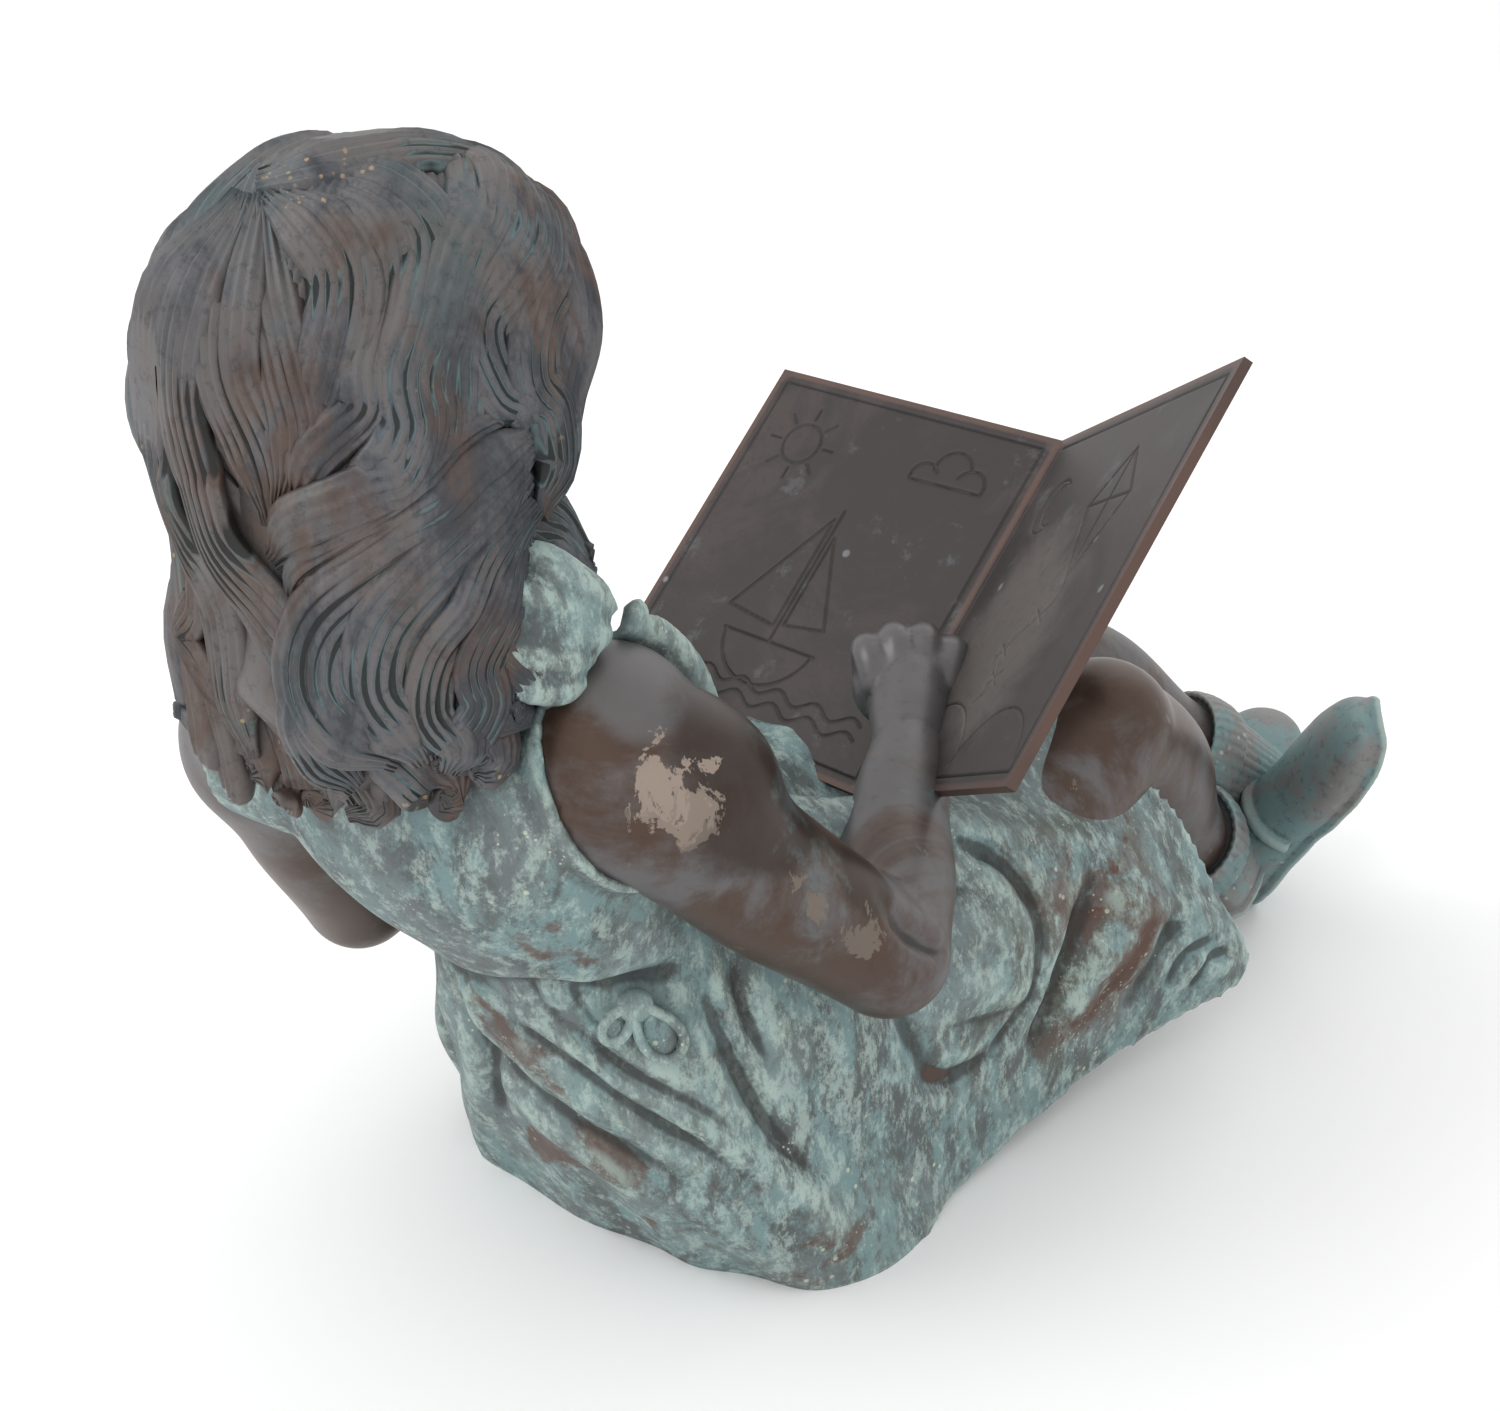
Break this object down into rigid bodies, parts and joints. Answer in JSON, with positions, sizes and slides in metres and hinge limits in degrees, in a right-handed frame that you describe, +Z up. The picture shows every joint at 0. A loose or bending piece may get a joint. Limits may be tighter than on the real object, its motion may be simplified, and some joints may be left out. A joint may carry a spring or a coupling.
{
  "type": "reading girl statue",
  "caption": "Bronze garden statue of a seated girl leaning back with crossed ankles, reading an open book held up on her lap.",
  "frame": {"origin": "on the flat underside of the skirt, below the hips, at ground level", "axes": "+Z up, the girl faces -Y, her right hand is on the -X side"},
  "size_m": [0.354, 0.6975, 0.4946],
  "materials": {
    "figure_bronze": "cast bronze, verdigris on the dress, dark brown patina on skin and hair",
    "book_bronze": "cast bronze with a dark red-brown patina, worn edges"
  },
  "bodies": {
    "root": {"girl": "figure_bronze", "book": "book_bronze"}
  },
  "joints": []
}
